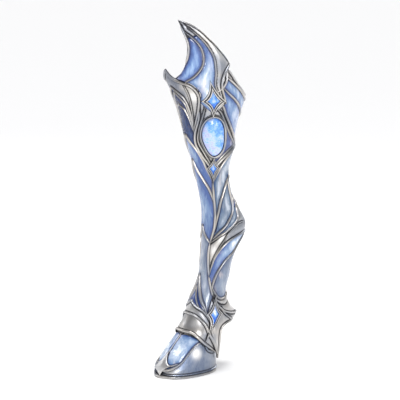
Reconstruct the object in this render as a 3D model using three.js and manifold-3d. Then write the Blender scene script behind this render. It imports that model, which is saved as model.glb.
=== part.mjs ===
// A greave for the left foreleg of a hoofed animal: thin steel plates wrapped round the leg,
// raised ribs soldered on them, blue inlays between the ribs, and set stones.
// Millimetres, +Z up. The toe points along -Y and the decorated outer side faces +X.
import * as THREE from 'three';
import { mergeVertices } from 'three/addons/utils/BufferGeometryUtils.js';
import Module from 'manifold-3d';

const wasm = await Module();
wasm.setup();

const plateThickness = 1.8;
const ribHeight = 2.4;
const ribRoot = 0.5;
const edgeWidth = 5.5;
const insideWidth = 5;
const above = 30; // higher than anything that lies on the surface
const fieldLow = -10;
const fieldHigh = 20;
const gap = 0.4;
const inlayFloor = 0.4;
const inlayTop = 1.3;
const finLift = 0.3;
const finRibRoot = 1;
const bladeTop = 4.2;
const notchWidth = 7;
const crescentWidth = 4.5;
const crescentTop = 4;
const finRimWidth = 3;
const finSpread = 0.6; // room that the fin's own inlays keep from its ribs
const finInlay = [2.4, 3.4];
const prowTop = 2.6;
const prowRibTop = 4;
const gemHeight = 12;
const gemHalf = [25, 41];
const gemRoom = 0.8;
const bezelHalf = [31.5, 47.5];
const bezelTop = 4.2;
const bezelRoom = 0.6;
const roundCount = 24;
const stoneTall = 3;
const ornamentTop = 5.6;
const lameRibHalf = 1;
const quarterRise = 1.6;
const soleThickness = 5;
const twistPivot = 15;
const soleLip = 1.2;
const solePoint = 7;
const wrapStep = 22.5;
const heightStep = 40;
const probe = 2; // degrees and millimetres either way when the surface's slope is taken
const onNet = 1e-5;
const shortest = 0.02;

// Leg sections, one a row: height, middle y, reach to the front, reach to the back,
// half width, roundness of the front, roundness of the back, and turn of the toe in degrees.
const legSections = [
  [10, -34, 80, 62, 54, 2.4, 2.2, 12],
  [61, -20, 61, 60, 50, 2.3, 2.1, 12],
  [90, -1, 55, 56, 46, 2.2, 2, 12],
  [112, 12, 52, 78, 42, 2, 1.7, 11],
  [132, 16, 46, 56, 39, 2, 1.8, 9],
  [150, 20, 41, 42, 35, 2, 2, 6],
  [168, 24, 35, 33, 32, 2, 2, 3],
  [203, 33, 33, 32, 30, 2, 2, 0],
  [238, 39, 34, 34, 31, 2, 2, 0],
  [273, 42, 34, 49, 34, 2, 1.7, 0],
  [293, 43, 35, 60, 36, 2, 1.5, 0],
  [310, 44, 36, 61, 37, 2, 1.5, 0],
  [342, 42, 34, 48, 34, 2, 1.7, 0],
  [377, 36, 33, 35, 31, 2, 2, 0],
  [411, 29, 33, 34, 31, 2, 2, 0],
  [445, 26, 39, 38, 36, 2, 2, 0],
  [479, 26, 48, 47, 43, 2, 2, 0],
  [513, 22, 55, 54, 49, 2, 2, 0],
  [547, 22, 61, 62, 56, 2, 2, 0],
  [590, 20, 73, 76, 64, 2, 2, 0],
  [640, 4, 79, 64, 68, 2, 2, 0],
  [690, 0, 80, 56, 66, 2, 2, 0],
  [750, -8, 80, 52, 62, 2, 2, 0],
];

// Hoof sections, in the same columns.
const hoofSections = [
  [0, -34, 76, 63, 49, 2.6, 2.2, 12],
  [15, -34, 72, 62, 48, 2.5, 2.2, 12],
  [30, -31, 66, 59, 46, 2.4, 2.2, 12],
  [45, -26, 60, 54, 44, 2.4, 2.1, 12],
  [60, -20, 53, 51, 42, 2.3, 2.1, 12],
  [78, -10, 46, 44, 39, 2.2, 2, 12],
  [96, 0, 42, 36, 36, 2.1, 2, 12],
];

const steel = { color: 0xb9b5ae, roughness: 0.32, metalness: 0.95 };
const darkSteel = { color: 0x8f9096, roughness: 0.38, metalness: 0.9 };
const blueEnamel = { color: 0x8fb0e0, roughness: 0.22, metalness: 0.1 };
const deepEnamel = { color: 0x4564ae, roughness: 0.22, metalness: 0.1 };
const paleEnamel = { color: 0xb9cbe4, roughness: 0.25, metalness: 0.1 };
const stoneBlue = { color: 0x4f9bf0, roughness: 0.08, metalness: 0 };

// A wrap turns chart points (degrees round from the outer side towards the front, height,
// height above the surface) into points of the leg or the hoof.
class Wrap {
  constructor(sections) {
    this.sections = sections;
    this.slopes = sections.map((row, index) => this.slope(index));
    this.corners = new Map();
    this.claims = [];
  }

  slope(index) {
    const rows = this.sections;
    const last = rows.length - 1;
    return rows[index].map((value, column) => {
      const rate = (i) => (rows[i + 1][column] - rows[i][column]) / (rows[i + 1][0] - rows[i][0]);
      if (index === 0) return rate(0);
      if (index === last) return rate(last - 1);
      const below = rows[index][0] - rows[index - 1][0];
      const above = rows[index + 1][0] - rows[index][0];
      const [before, after] = [rate(index - 1), rate(index)];
      return before * after <= 0 ? 0 : (before * above + after * below) / (below + above);
    });
  }

  section(height) {
    const rows = this.sections;
    const z = THREE.MathUtils.clamp(height, rows[0][0], rows.at(-1)[0]);
    let i = 0;
    while (i < rows.length - 2 && z > rows[i + 1][0]) i += 1;
    const span = rows[i + 1][0] - rows[i][0];
    const t = (z - rows[i][0]) / span;
    const start = 2 * t ** 3 - 3 * t ** 2 + 1;
    const startSlope = (t ** 3 - 2 * t ** 2 + t) * span;
    const endSlope = (t ** 3 - t ** 2) * span;
    return rows[i].map((value, column) => start * value + startSlope * this.slopes[i][column]
      + (1 - start) * rows[i + 1][column] + endSlope * this.slopes[i + 1][column]);
  }

  surface(degrees, height) {
    const [, middle, front, back, half, roundFront, roundBack, turn] = this.section(height);
    const angle = THREE.MathUtils.degToRad(degrees);
    const [c, s] = [Math.cos(angle), Math.sin(angle)];
    const power = 2 / (s >= 0 ? roundFront : roundBack);
    const x = half * Math.sign(c) * Math.abs(c) ** power;
    const reach = s >= 0 ? front : back;
    const y = -reach * Math.sign(s) * Math.abs(s) ** power;
    const twist = THREE.MathUtils.degToRad(turn);
    const dy = y + middle - twistPivot;
    return new THREE.Vector3(
      x * Math.cos(twist) - dy * Math.sin(twist),
      twistPivot + x * Math.sin(twist) + dy * Math.cos(twist),
      height,
    );
  }

  corner(column, row) {
    const key = `${column},${row}`;
    if (!this.corners.has(key)) {
      const [u, v] = [column * wrapStep, row * heightStep];
      const across = this.surface(u + probe, v).sub(this.surface(u - probe, v));
      const along = this.surface(u, v + probe).sub(this.surface(u, v - probe));
      const normal = along.cross(across).normalize();
      this.corners.set(key, [this.surface(u, v), normal]);
    }
    return this.corners.get(key);
  }

  // The surface is a net of flat triangles, so plates laid over each other keep their distance.
  point(u, v, w) {
    const [a, b] = [u / wrapStep, v / heightStep];
    const [column, row] = [Math.floor(a), Math.floor(b)];
    const [s, t] = [a - column, b - row];
    const third = s > t ? [1, 0, s - t] : [0, 1, t - s];
    const place = new THREE.Vector3();
    const normal = new THREE.Vector3();
    for (const [i, j, weight] of [[0, 0, 1 - Math.max(s, t)], third, [1, 1, Math.min(s, t)]]) {
      const [where, out] = this.corner(column + i, row + j);
      place.addScaledVector(where, weight);
      normal.addScaledVector(out, weight);
    }
    return place.addScaledVector(normal, w);
  }

  millimetresPerDegree(u, v) {
    return this.surface(u + probe, v).distanceTo(this.surface(u - probe, v)) / (2 * probe);
  }
}

const leg = new Wrap(legSections);
const hoof = new Wrap(hoofSections);

// Charts are flat: x is degrees round, y is height, and z is height above the surface.
const mirror = (points) => points.map(([u, v]) => [180 - u, v]);
const reversed = (points) => [...points].reverse();

function solid(geometry) {
  const bare = geometry.clone();
  bare.deleteAttribute('normal');
  bare.deleteAttribute('uv');
  const merged = mergeVertices(bare, onNet);
  return new wasm.Manifold(new wasm.Mesh({
    numProp: 3,
    vertProperties: new Float32Array(merged.attributes.position.array),
    triVerts: new Uint32Array(merged.index.array),
  }));
}

function distinct(outline) {
  return outline.filter(([u, v], index) => {
    const [a, b] = outline.at(index - 1);
    return Math.hypot(u - a, v - b) > shortest;
  });
}

function slab(outline, low, high) {
  const shape = new THREE.Shape(distinct(outline).map(([u, v]) => new THREE.Vector2(u, v)));
  const geometry = new THREE.ExtrudeGeometry(shape, { depth: high - low, bevelEnabled: false });
  return solid(geometry.translate(0, 0, low));
}

// A strip of a real width along a chart line, as one convex patch for each stretch. It can be
// grown by a margin all round.
function strip(wrap, line, width, low, high, margin = 0) {
  const points = distinct([...line, [1e6, 1e6]]).slice(0, -1);
  const last = points.length - 1;
  const sides = points.map(([u, v], index) => {
    const [u0, v0] = points[Math.max(index - 1, 0)];
    const [u1, v1] = points[Math.min(index + 1, last)];
    const scale = wrap.millimetresPerDegree(u, v);
    const [dx, dy] = [(u1 - u0) * scale, v1 - v0];
    const length = Math.hypot(dx, dy);
    const half = (typeof width === 'function' ? width(index / last) : width) / 2 + margin;
    const [du, dv] = [(-dy / length) * half / scale, (dx / length) * half];
    const onward = margin * ((index === last) - (index === 0)) / length;
    const [x, y] = [u + dx * onward / scale, v + dy * onward];
    return [[x + du, y + dv], [x - du, y - dv]];
  });
  const patches = points.slice(1).map((point, index) => {
    const [a, b] = [sides[index], sides[index + 1]];
    return slab(roundabout([a[0], b[0], b[1], a[1]]), low, high);
  });
  return join(...patches);
}

// The same corners in turn round their middle, which keeps a patch simple on a tight bend.
function roundabout(corners) {
  const middle = [0, 1].map((k) => corners.reduce((sum, corner) => sum + corner[k], 0) / corners.length);
  const angle = ([u, v]) => Math.atan2(v - middle[1], u - middle[0]);
  return [...corners].sort((a, b) => angle(a) - angle(b));
}

const join = (first, ...rest) => rest.reduce((sum, next) => sum.add(next), first);
const cut = (body, ...tools) => tools.reduce((rest, tool) => rest.subtract(tool), body);

// The net's lines are where one of these three sums is a whole number.
const netLines = [[1 / wrapStep, 0], [0, 1 / heightStep], [1 / wrapStep, -1 / heightStep]];
const levelOf = ([u, v], [across, along]) => u * across + v * along;

// Cuts every triangle along one family of net lines, so that the wrapped solid bends there.
function scoreMesh({ points, faces }, family) {
  const levels = points.map((point) => levelOf(point, family));
  const split = new Map();
  let rest = faces;
  const last = Math.max(...levels);
  for (let line = Math.ceil(Math.min(...levels)); line < last; line += 1) {
    const side = (i) => (Math.abs(levels[i] - line) < onNet ? 0 : Math.sign(levels[i] - line));
    const crossing = (i, j) => {
      const [a, b] = i < j ? [i, j] : [j, i];
      const key = `${a},${b}`;
      if (!split.has(key)) {
        const t = (line - levels[a]) / (levels[b] - levels[a]);
        split.set(key, points.push(points[a].map((value, k) => value + t * (points[b][k] - value))) - 1);
        levels.push(line);
      }
      return split.get(key);
    };
    split.clear();
    const next = [];
    for (const face of rest) {
      const sides = face.map(side);
      if (!(sides.includes(1) && sides.includes(-1))) {
        next.push(face);
        continue;
      }
      const start = sides.includes(0) ? sides.indexOf(0)
        : sides.findIndex((value) => sides.filter((other) => other === value).length === 1);
      const [a, b, c] = [0, 1, 2].map((k) => face[(start + k) % 3]);
      if (sides[start] === 0) {
        const m = crossing(b, c);
        next.push([a, b, m], [a, m, c]);
      } else {
        const [m, n] = [crossing(a, b), crossing(c, a)];
        next.push([a, m, n], [m, b, c], [m, c, n]);
      }
    }
    rest = next;
  }
  return { points, faces: rest };
}

function thinMesh({ points, faces }) {
  const fans = points.map(() => new Set());
  faces.forEach((face, index) => face.forEach((i) => fans[i].add(index)));
  const normal = ([i, j, k]) => {
    const [a, b, c] = [i, j, k].map((n) => new THREE.Vector3(...points[n]));
    return b.sub(a).cross(c.sub(a));
  };
  const onLine = (level) => Math.abs(level - Math.round(level)) < onNet;
  const ringOf = (i) => new Set([...fans[i]].flatMap((f) => faces[f]).filter((j) => j !== i));
  const moved = (face, from, to) => face.map((k) => (k === from ? to : k));

  function canMerge(from, to, out) {
    const shared = [...ringOf(from)].filter((k) => ringOf(to).has(k));
    if (shared.length !== 2) return false;
    return [...fans[from]].every((f) => {
      if (faces[f].includes(to)) return true;
      const after = normal(moved(faces[f], from, to));
      return after.length() > 0.02 && after.normalize().dot(out) > 0.999;
    });
  }

  for (let pass = 0; pass < 3; pass += 1) {
    for (let i = 0; i < points.length; i += 1) {
      if (fans[i].size === 0) continue;
      const normals = [...fans[i]].map((f) => normal(faces[f])).filter((n) => n.length() > 1e-6);
      if (normals.length === 0) continue;
      const out = normals[0].clone().normalize();
      if (!normals.every((n) => n.clone().normalize().dot(out) > 0.9999)) continue;
      const fixed = netLines.filter((family) => onLine(levelOf(points[i], family)));
      const alongNet = (j) => fixed.every((family) => (
        Math.abs(levelOf(points[j], family) - levelOf(points[i], family)) < onNet));
      const target = [...ringOf(i)].find((j) => alongNet(j) && canMerge(i, j, out));
      if (target === undefined) continue;
      for (const f of [...fans[i]]) {
        if (faces[f].includes(target)) {
          faces[f].forEach((k) => fans[k].delete(f));
          faces[f] = null;
        } else {
          faces[f] = moved(faces[f], i, target);
          fans[target].add(f);
        }
      }
      fans[i].clear();
    }
  }
  const kept = points.map((point, i) => i).filter((i) => fans[i].size > 0);
  const place = new Map(kept.map((i, index) => [i, index]));
  return {
    points: kept.map((i) => points[i]),
    faces: faces.filter(Boolean).map((face) => face.map((i) => place.get(i))),
  };
}

function wrapped(wrap, chart) {
  const flat = chart.getMesh();
  const points = [];
  for (let i = 0; i < flat.vertProperties.length; i += flat.numProp) {
    points.push([...flat.vertProperties.slice(i, i + 3)]);
  }
  const faces = [];
  for (let i = 0; i < flat.triVerts.length; i += 3) faces.push([...flat.triVerts.slice(i, i + 3)]);
  const mesh = thinMesh(netLines.reduce(scoreMesh, { points, faces }));
  const geometry = new THREE.BufferGeometry();
  const places = mesh.points.flatMap(([u, v, w]) => wrap.point(u, v, w).toArray());
  geometry.setAttribute('position', new THREE.Float32BufferAttribute(places, 3));
  geometry.setIndex(mesh.faces.flatMap(([a, b, c]) => [a, c, b]));
  return geometry;
}

const greave = new THREE.Group();

function addMesh(name, geometry, finish) {
  geometry.computeVertexNormals();
  const mesh = new THREE.Mesh(geometry, new THREE.MeshStandardMaterial(finish));
  mesh.name = name;
  greave.add(mesh);
}

const backMirror = (points) => points.map(([u, v]) => [-180 - u, v]);
const overFront = (line) => [...reversed(mirror(line)), ...line.slice(1)];
const overBack = (line) => [...reversed(backMirror(line)), ...line.slice(1)];
const bothSides = (line) => [line, mirror(line)];
const bothBacks = (line) => [line, backMirror(line)];

// Lines of the outer side. Lines that run over the front start at 90 degrees, and lines that
// run over the back start at -90.
const seamHigh = [[22, 409], [19, 442], [16, 475], [15, 507], [15, 549], [15, 584], [15, 598]];
const strandShin = [[22, 409], [28, 384], [32, 358], [36, 332], [43, 302], [54, 277]];
const strandHock = [[54, 277], [56, 258], [53, 236], [43, 206]];
const strandLow = [[43, 206], [28, 182], [15, 164]];
const lineA = [[90, 511], [79, 497], [62, 478], [48, 457], [36, 434], [22, 409]];
const lineS = [[-90, 488], [-64, 484], [-37, 468], [-10, 444], [9, 422], [22, 409]];
const lineY = [[90, 313], [79, 297], [54, 277]];
const lineF = [[-90, 364], [-60, 357], [-47, 346], [-42, 330], [-21, 313], [20, 294], [54, 277]];
const hockLow = [[-90, 297], [-40, 290], [3, 273], [28, 250], [38, 228], [43, 206]];
const cuffTopLine = [[-90, 150], [-60, 148], [-30, 142], [-4, 149], [15, 164]];
const collarHigh = [[90, 152], [71, 144], [40, 133], [28, 124], [20, 115], [2, 88], [-18, 66], [-38, 40]];
const collarLow = [[90, 127], [62, 124], [31, 108], [3, 82], [-20, 60], [-37, 39]];
const cuffSide = [24, 142];

const gemCentre = [15, 507];
const strands = {
  archHigh: [[90, 600], [82, 592], [70, 577], [64, 548], [57, 521]],
  archLow: [[90, 574], [77, 566], [70, 552], [63, 532], [57, 515]],
  gemFront: [[42, 572], [45, 545], [55, 515], [60, 489], [49, 468], [32, 448], [20, 432]],
  gemBack: [[15, 592], [0, 573], [-10, 551], [-29, 524], [-50, 501], [-63, 484]],
  gemUnder: [[-64, 485], [-40, 476], [-18, 464], [6, 446], [20, 430]],
  wingHigh: [[-12, 640], [-27, 623], [-40, 606], [-55, 588], [-90, 572]],
  wingLow: [[-2, 624], [-9, 603], [-25, 583], [-55, 556], [-90, 538]],
  shinB: [[90, 456], [76, 436], [59, 416], [42, 396], [31, 364]],
  calfC: [[-90, 424], [-60, 418], [-36, 409], [-8, 385], [15, 357], [31, 328], [40, 304]],
  leafD: [[-44, 413], [-38, 368], [-29, 346], [-5, 320], [24, 301], [44, 286]],
  cannonH: [[-80, 294], [-62, 278], [-41, 257], [-8, 238], [14, 214], [22, 192], [22, 174]],
  cannonLow: [[90, 206], [76, 184], [54, 158], [38, 142], [26, 122]],
  notchRim: [[46, 738], [41, 718], [38, 700], [39, 680], [46, 656], [58, 637], [66, 630]],
  crescentTop: [[-33, 352], [-48, 366], [-90, 380]],
  finCrescent: [[41, 724], [33, 715], [23, 700], [17, 676], [20, 654], [33, 635], [52, 622]],
  cannonHem: [[-90, 168], [-60, 166], [-30, 157], [-8, 158], [10, 170], [24, 184]],
  cuffRib: [[12, 156], [-4, 142], [-31, 124], [-55, 117], [-90, 116]],
};

const finTop = [[49, 748], [40, 744], [31, 739], [17, 726], [4, 707], [-15, 684], [-39, 658]];
const bladeEdge = [[-39, 658], [-20, 642], [-4, 616], [-3, 590], [-6, 577]];
const bladeInner = [[9, 577], [6, 594], [7, 614], [1, 640], [1, 667], [8, 691], [20, 714], [34, 732]];
const notch = [[70, 629], [64, 633], [55, 640], [45, 658], [41, 683], [40, 700], [42, 720], [49, 748]];
const prowRidge = [[90, 645], [74, 629], [57, 621], [44, 613], [38, 595], [42, 570], [49, 545], [57, 521]];
const prowLow = [[90, 612], [78, 602], [67, 590], [61, 563], [57, 521]];
const finOutline = [
  ...notch,
  ...finTop.slice(1),
  ...bladeEdge.slice(1),
  [5, 564],
  [15, 556],
  [27, 566],
  ...[[37, 580], [34, 598], [42, 617], [57, 625]],
];
const bladeOutline = [...finTop, ...bladeEdge.slice(1), ...bladeInner];

const star = (centre, up, down, side, waist) => {
  const [u, v] = centre;
  return [
    [u - 2, v + up], [u + side * waist, v + up * waist], [u + side, v],
    [u + side * waist, v - down * waist], [u + 2, v - down], [u - side * waist, v - down * waist],
    [u - side, v], [u - side * waist, v + up * waist],
  ];
};
const stars = {
  upper: { outline: star([15, 583], 42, 34, 20, 0.34), stone: [14, 585, 7, 19], lift: [4.8, 6.6] },
  middle: { outline: star([18, 440], 24, 30, 20, 0.34), stone: [18, 442, 8, 13], lift: [2.7, 4.6] },
  lower: { outline: star([9, 126], 40, 50, 21, 0.3), stone: [7, 123, 10, 17], lift: [2.7, 4.6] },
};

function edgeBand(outline, width, low) {
  const corners = distinct(outline);
  return join(...corners.map((corner, index) => strip(
    leg, [corners.at(index - 1), corner], width, low, above)));
}

function around(outline, low) {
  return join(slab(outline, low, above), edgeBand(outline, 2 * gap, low));
}

function ellipse(half) {
  return Array.from({ length: roundCount }, (_, index) => {
    const angle = (index / roundCount) * 2 * Math.PI;
    return [gemCentre[0] + half[0] * Math.cos(angle), gemCentre[1] + half[1] * Math.sin(angle)];
  });
}

function dome(half, height) {
  const profile = [[0, 0], [1, 0], [0.97, 0.3], [0.87, 0.56], [0.7, 0.76], [0.45, 0.92], [0, 1]];
  const round = new THREE.LatheGeometry(profile.map(([x, y]) => new THREE.Vector2(x, y)), roundCount);
  return solid(round.rotateX(Math.PI / 2).scale(half[0], half[1], height).translate(...gemCentre, inlayFloor));
}

function starStone([u, v, side, tall], low) {
  const pyramid = new THREE.ConeGeometry(1, stoneTall, 4).rotateX(Math.PI / 2);
  return solid(pyramid.scale(side, tall, 1).translate(u, v, low + stoneTall / 2));
}

// What lies on a plate or across its edge claims its place, with the gap round it. A full turn
// of the chart comes back to the same place, so a claim counts there too.
const turns = [-360, 0, 360];
const claim = (body, wrap = leg) => wrap.claims.push(...turns.map((turn) => body.translate([turn, 0, 0])));
const clear = (body, wrap = leg) => cut(body, ...wrap.claims);
const largest = (body) => body.decompose().reduce((a, b) => (b.volume() > a.volume() ? b : a));

function rib(line, width, low = -ribRoot, high = ribHeight, wrap = leg) {
  return strip(wrap, line, width, low, high);
}

function ribSpace(line, width, low, wrap) {
  return strip(wrap, line, width, low, above, gap);
}

function ribWidth(width) {
  const [ends, swell, blunt] = [0.62, 0.38, 0.04]; // shares of the width, and of the length
  return (t) => width * (ends + swell * Math.sin(Math.PI * Math.min(Math.max(t, blunt), 1 - blunt)));
}

const plates = {};

// A plate has seams where it meets its neighbours, ribs along its edges that reach over the
// neighbour, and ribs inside that stop at its edge.
function addPlate(name, { outline, seams = [], edges = [], inside = [] }, wrap = leg) {
  const field = slab(outline, fieldLow, fieldHigh);
  const joints = seams.map((line) => rib(line, gap, fieldLow, fieldHigh, wrap));
  const bars = inside.map((line) => rib(line, ribWidth(insideWidth), -ribRoot, ribHeight, wrap).intersect(field));
  const sheet = cut(join(slab(outline, -plateThickness, 0), ...bars), ...joints);
  const rims = edges.map((line) => rib(line, edgeWidth, -ribRoot, ribHeight, wrap));
  addMesh(name, wrapped(wrap, largest(clear(join(sheet, ...rims), wrap))), steel);
  for (const line of edges) claim(ribSpace(line, edgeWidth, -ribRoot - gap, wrap), wrap);
  for (const line of inside) claim(ribSpace(line, ribWidth(insideWidth), 0, wrap).intersect(field), wrap);
  plates[name] = outline;
}

// Settings and stones.
for (const [name, { outline, stone, lift }] of Object.entries(stars)) {
  addMesh(`star_setting_${name}`, wrapped(leg, slab(outline, ...lift)), steel);
  addMesh(`star_stone_${name}`, wrapped(leg, starStone(stone, lift[1] + gap)), stoneBlue);
}
const starColumns = Object.values(stars).map(({ outline, lift }) => around(outline, lift[0] - gap));
const gemHole = slab(ellipse(gemHalf.map((half) => half + gemRoom)), 0, above);
const bezel = cut(slab(ellipse(bezelHalf), inlayFloor, bezelTop), gemHole, starColumns[0], starColumns[1]);
addMesh('gem_bezel', wrapped(leg, largest(bezel)), steel);
addMesh('gem', wrapped(leg, dome(gemHalf, gemHeight)), stoneBlue);
starColumns.forEach((column) => claim(column));
claim(slab(ellipse(bezelHalf.map((half) => half + bezelRoom)), 0, above));

// The fin stands outside the upper plates, with the blade and its ribs on it.
const notchRib = (width, low, high) => rib(strands.notchRim, width, low, high);
const crescentRib = (width, low, high) => rib(strands.finCrescent, width, low, high);
let fin = slab(finOutline, finLift, finLift + plateThickness);
fin = join(fin, slab(bladeOutline, finRibRoot, bladeTop));
fin = join(fin, notchRib(notchWidth, finRibRoot, bladeTop).intersect(slab(finOutline, 0, fieldHigh)));
fin = join(fin, crescentRib(crescentWidth, finRibRoot, crescentTop));
fin = largest(clear(fin));
addMesh('fin_plate', wrapped(leg, fin), steel);
const finClear = cut(slab(finOutline, ...finInlay),
  edgeBand(finOutline, finRimWidth, 0),
  around(bladeOutline, finRibRoot),
  notchRib(notchWidth + finSpread, 0, fieldHigh),
  crescentRib(crescentWidth + finSpread, 0, fieldHigh),
  ...starColumns);
claim(around(finOutline, 0));

const prowOutline = [...overFront(prowRidge), ...reversed(overFront(prowLow))];
let prow = slab(prowOutline, finLift, prowTop);
prow = join(prow, rib(overFront(prowRidge), insideWidth, finRibRoot, prowRibTop)
  .intersect(slab(prowOutline, 0, fieldHigh)));
prow = largest(clear(prow));
addMesh('prow_plate', wrapped(leg, prow), steel);
claim(around(prowOutline, 0));

// The plates round the leg. A plate whose ribs reach over a neighbour comes before it.
const frontRim = [[15, 598], [30, 602], [45, 607], [60, 618], [75, 626], [90, 640]];
const frontRimInside = [[90, 640], [105, 629], [125, 620], [145, 608], [165, 602]];
addPlate('upper_front_plate', {
  outline: [...reversed(lineA), ...mirror(lineA).slice(1), ...mirror(seamHigh).slice(1, -1),
    ...reversed(frontRimInside), ...reversed(frontRim).slice(1), ...reversed(seamHigh).slice(1, -1)],
  seams: [seamHigh, mirror(seamHigh), lineA, mirror(lineA)],
  edges: [overFront(lineA), mirror(seamHigh)],
  inside: [overFront(strands.archHigh), overFront(strands.archLow), strands.gemFront, frontRimInside],
});
addPlate('shin_front_plate', {
  outline: [...overFront(lineA), ...strandShin.slice(1), ...reversed(lineY).slice(1),
    ...mirror(lineY).slice(1), ...reversed(mirror(strandShin)).slice(1, -1)],
  seams: [...bothSides(strandShin), overFront(lineA), overFront(lineY)],
  edges: [...bothSides(strandShin), overFront(lineY)],
  inside: [overFront(strands.shinB)],
});
addPlate('fetlock_collar', {
  outline: [...overFront(collarHigh), ...reversed(overFront(collarLow))],
  seams: [overFront(collarHigh)],
  edges: [overFront(collarHigh), overFront(collarLow)],
});
addPlate('cannon_front_plate', {
  outline: [...overFront(lineY), ...strandHock.slice(1), ...strandLow.slice(1),
    cuffSide, ...reversed(collarHigh.slice(0, 4)), ...mirror(collarHigh).slice(1, 4), ...mirror([cuffSide]),
    ...reversed(mirror(strandLow)), ...reversed(mirror(strandHock)).slice(1, -1)],
  seams: [...bothSides(strandHock), ...bothSides(strandLow), overFront(lineY), overFront(collarHigh),
    ...bothSides([strandLow.at(-1), cuffSide, collarHigh[3]])],
  edges: [...bothSides(strandHock), ...bothSides(strandLow)],
  inside: [overFront(strands.cannonLow)],
});
const backRim = [[15, 598], [0, 606], [-16, 622], [-30, 645], [-38, 634], [-44, 614], [-60, 592],
  [-90, 588]];
const backRimInside = [[-90, 588], [-120, 590], [-150, 597], [-195, 602]];
addPlate('upper_back_plate', {
  outline: [...reversed(seamHigh), ...lineS.slice(0, -1).reverse(), ...backMirror(lineS).slice(1),
    ...backMirror(seamHigh).slice(1, -1), ...reversed(backRimInside), ...reversed(backRim).slice(1, -1)],
  seams: [seamHigh, backMirror(seamHigh), overBack(lineS)],
  edges: [overBack(lineS)],
  inside: [strands.gemBack, strands.gemUnder, overBack(strands.wingLow), overBack(strands.wingHigh),
    backRimInside],
});
addPlate('hock_plate', {
  outline: [...overBack(lineF), ...strandHock.slice(1), ...reversed(hockLow).slice(1),
    ...backMirror(hockLow).slice(1), ...reversed(backMirror(strandHock)).slice(1, -1)],
  seams: [strandHock, backMirror(strandHock), overBack(lineF), overBack(hockLow)],
  edges: [overBack(lineF), overBack(hockLow)],
});
addPlate('shin_back_plate', {
  outline: [...overBack(lineS), ...strandShin.slice(1), ...reversed(lineF).slice(1),
    ...backMirror(lineF).slice(1), ...reversed(backMirror(strandShin)).slice(1, -1)],
  seams: [strandShin, backMirror(strandShin), overBack(lineS), overBack(lineF)],
  inside: [overBack(strands.calfC), ...bothBacks(strands.leafD), overBack(strands.crescentTop)],
});
addPlate('cannon_back_plate', {
  outline: [...overBack(hockLow), ...strandLow.slice(1), ...reversed(cuffTopLine).slice(1),
    ...backMirror(cuffTopLine).slice(1), ...reversed(backMirror(strandLow)).slice(1, -1)],
  seams: [strandLow, backMirror(strandLow), overBack(hockLow), overBack(cuffTopLine)],
  inside: [...bothBacks(strands.cannonH), overBack(strands.cannonHem)],
});

// The cuff flares out behind and has a long spike on each side. The lame lies under the collar.
const cuffLow = [[-90, 106], [-75, 104], [-54, 102], [-30, 102], [-22, 94], [-26, 80], [-37, 62], [-44, 44], [-47, 28]];
addPlate('fetlock_cuff', {
  outline: [...overBack(cuffTopLine), cuffSide, ...collarHigh.slice(3), ...reversed(cuffLow),
    ...backMirror(cuffLow).slice(1), ...reversed(backMirror(collarHigh.slice(3))), ...backMirror([cuffSide])],
  seams: [overBack(cuffTopLine), ...bothBacks([cuffTopLine.at(-1), cuffSide, collarHigh[3]]), ...bothBacks(collarHigh)],
  inside: [overBack(strands.cuffRib), overBack(cuffLow)],
});
const lameHigh = [[90, 143], [62, 136], [31, 116], [3, 92], [-16, 70], [-30, 52]];
const lameLow = [[90, 94], [52, 91], [17, 75], [-10, 57], [-31, 44]];
const lameTop = -plateThickness - gap;
const lame = join(
  slab([...overFront(lameHigh), ...reversed(overFront(lameLow))], lameTop - plateThickness, lameTop),
  rib(overFront(lameLow), edgeWidth, lameTop - lameRibHalf, lameTop + lameRibHalf),
);
const collarColumn = around(plates.fetlock_collar, lameTop);
addMesh('pastern_lame', wrapped(leg, largest(cut(lame, collarColumn))), steel);

// Blue inlays fill the cells that the ribs leave on a plate.
function addInlays(layer, wanted, wrap = leg) {
  const cells = layer.decompose();
  for (const [name, seed, finish] of wanted) {
    const cell = cells.find((body) => inCell(body, seed));
    if (!cell) throw new Error(`no cell for ${name}`);
    addMesh(name, wrapped(wrap, cell), finish);
  }
}

function inCell(body, [u, v]) {
  const needle = slab([[u, v], [u + gap, v], [u + gap, v + gap], [u, v + gap]], -fieldHigh, fieldHigh);
  return body.intersect(needle).volume() > 0;
}

const over = (name, wrap = leg) => clear(slab(plates[name], inlayFloor, inlayTop), wrap);
addInlays(finClear, [
  ['fin_inlay_front', [30, 670], deepEnamel],
  ['fin_inlay_back', [8, 650], blueEnamel],
]);
addInlays(over('upper_front_plate'), [
  ['prow_inlay', [90, 606], blueEnamel],
  ['knee_inlay', [90, 540], deepEnamel],
]);
addInlays(over('upper_back_plate'), [
  ['wing_inlay_high', [-90, 555], blueEnamel],
  ['wing_inlay_low', [-90, 510], blueEnamel],
  ['gem_side_inlay', [-25, 505], deepEnamel],
]);
addInlays(over('shin_front_plate'), [
  ['shin_chevron_inlay', [90, 480], blueEnamel],
  ['shin_front_inlay', [90, 360], blueEnamel],
]);
addInlays(over('shin_back_plate'), [
  ['calf_inlay', [-90, 450], blueEnamel],
  ['leaf_inlay_outer', [0, 350], blueEnamel],
  ['leaf_inlay_inner', [-180, 350], blueEnamel],
  ['hock_crescent_inlay', [-90, 372], deepEnamel],
]);
addInlays(over('cannon_front_plate'), [
  ['cannon_front_inlay', [90, 240], paleEnamel],
  ['pastern_sliver_inlay', [90, 175], deepEnamel],
]);
addInlays(over('cannon_back_plate'), [
  ['cannon_leaf_inlay_outer', [-10, 255], blueEnamel],
  ['cannon_leaf_inlay_inner', [-170, 255], blueEnamel],
  ['cannon_back_inlay', [-90, 220], paleEnamel],
]);

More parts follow.
